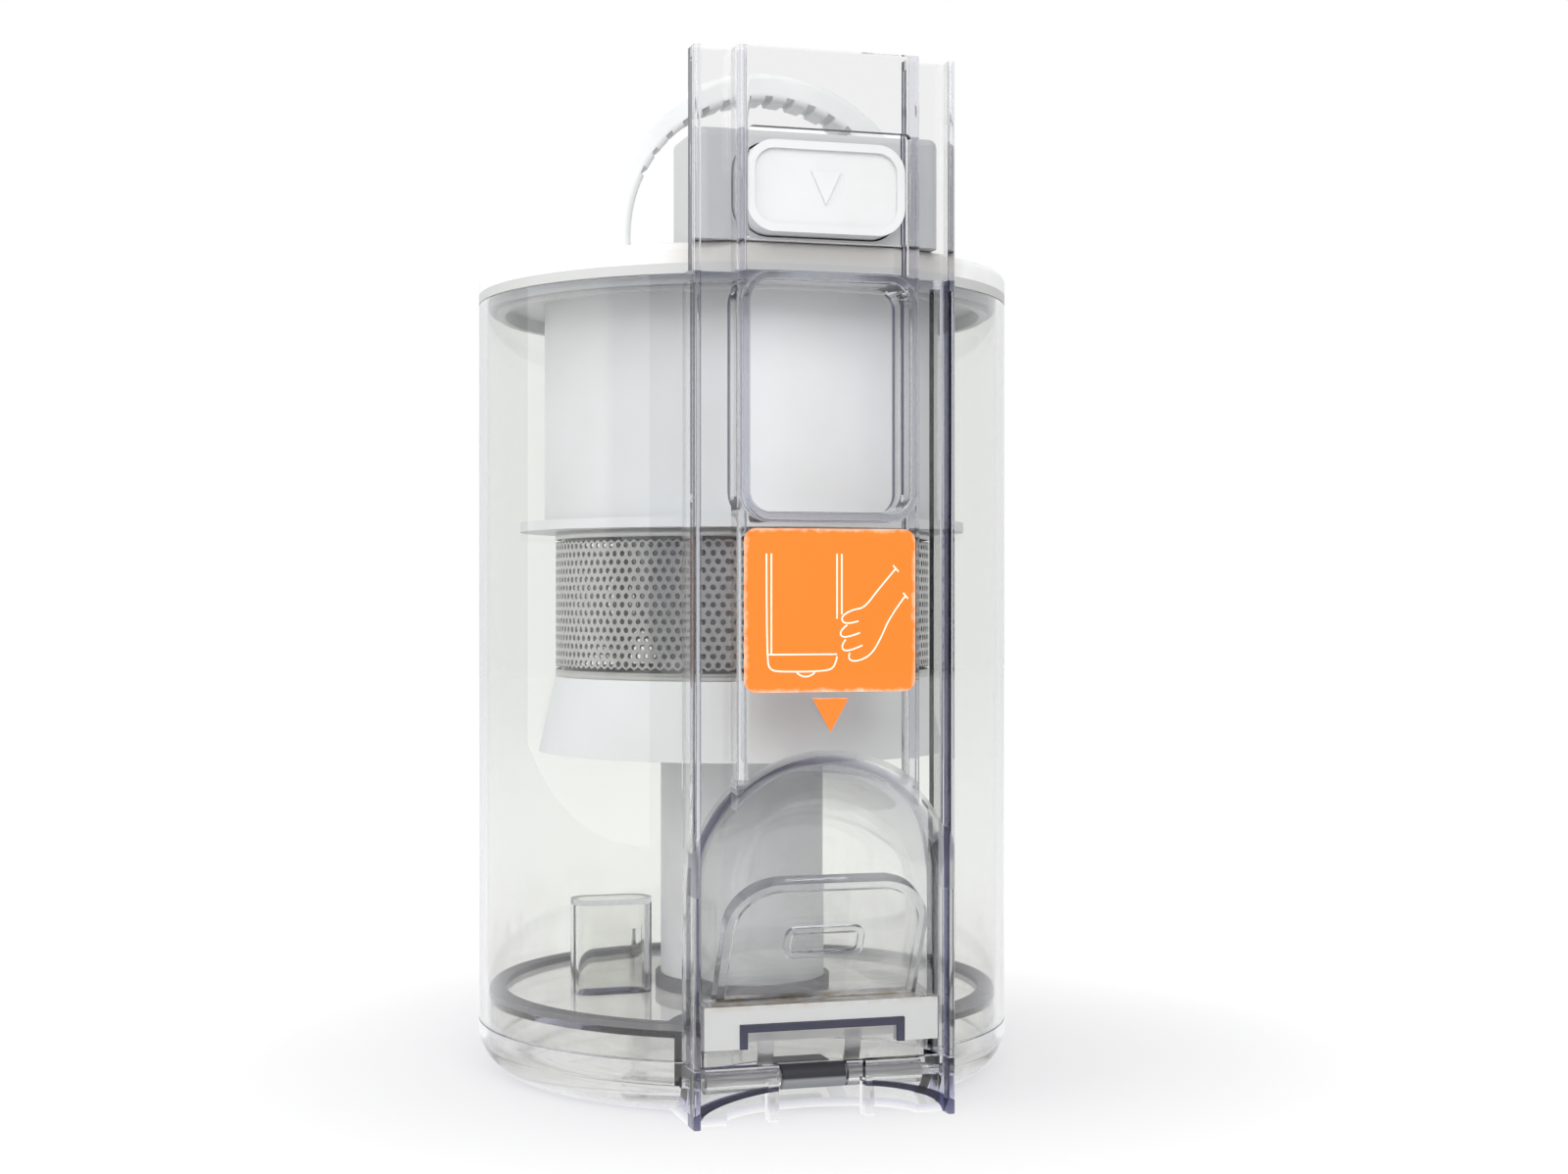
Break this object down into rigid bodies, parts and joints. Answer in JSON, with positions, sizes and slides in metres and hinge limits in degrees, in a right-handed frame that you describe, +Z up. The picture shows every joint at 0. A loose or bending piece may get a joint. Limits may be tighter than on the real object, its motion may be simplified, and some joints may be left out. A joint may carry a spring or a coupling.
{
  "type": "cyclone dust bin",
  "caption": "Clear round vacuum cleaner dust bin with a flat front spine, hinged floor door with pull lever, and lift-out cyclone lid with handle and button.",
  "frame": {"origin": "drum axis at the plane that the door stands on", "axes": "+Z up along the drum axis, -Y out of the front spine, +X to the right seen from behind the spine's back"},
  "size_m": [0.142, 0.1626, 0.2631],
  "materials": {
    "clear_plastic": "clear, slightly smoky, glossy",
    "grey_plastic": "light grey, satin",
    "mid_grey_plastic": "mid grey, satin",
    "dark_rubber": "dark grey, matt",
    "steel": "drawn steel",
    "perforated_steel": "perforated stainless sheet",
    "orange_label": "orange vinyl sticker"
  },
  "bodies": {
    "bin": {"bin_shell": "clear_plastic", "emptying_label": "orange_label", "arrow_label": "orange_label"},
    "door": {"door_dish": "clear_plastic", "door_plate": "clear_plastic", "door_seal": "dark_rubber", "hinge_pin": "steel", "lever_pin": "steel", "lever_springs": "steel"},
    "lever": {"release_lever": "clear_plastic", "latch_catch": "mid_grey_plastic"},
    "lid": {"lid": "grey_plastic", "lid_cover": "grey_plastic", "lid_seal": "dark_rubber", "handle": "grey_plastic", "handle_screws": "steel", "catch_housing": "grey_plastic", "housing_screws": "steel", "shroud": "grey_plastic", "mesh_screen": "perforated_steel", "shroud_skirt": "grey_plastic", "cyclone_cone": "grey_plastic", "vortex_tube": "grey_plastic", "dust_tube": "grey_plastic", "tube_seal": "dark_rubber", "button_spring": "steel"},
    "button": {"release_button": "grey_plastic"}
  },
  "joints": [
    {"name": "door_hinge", "type": "hinge", "parent": "bin", "child": "door", "pos_m": [0, 0.078, 0.013], "axis": [1, 0, 0], "range_deg": [0, 95]},
    {"name": "lever_pull", "type": "hinge", "parent": "door", "child": "lever", "pos_m": [0, -0.062, 0.009], "axis": [1, 0, 0], "range_deg": [0, 20], "stiffness_Nm_per_rad": 0.4, "springref_deg": -11.46, "deforming": ["lever_springs"]},
    {"name": "lid_lift", "type": "slide", "parent": "bin", "child": "lid", "axis": [0, 0, 1], "range_m": [0, 0.185]},
    {"name": "button_press", "type": "slide", "parent": "lid", "child": "button", "axis": [0, 1, 0], "range_m": [0, 0.0045], "stiffness_N_per_m": 700, "springref_m": -0.002, "deforming": ["button_spring"]}
  ]
}
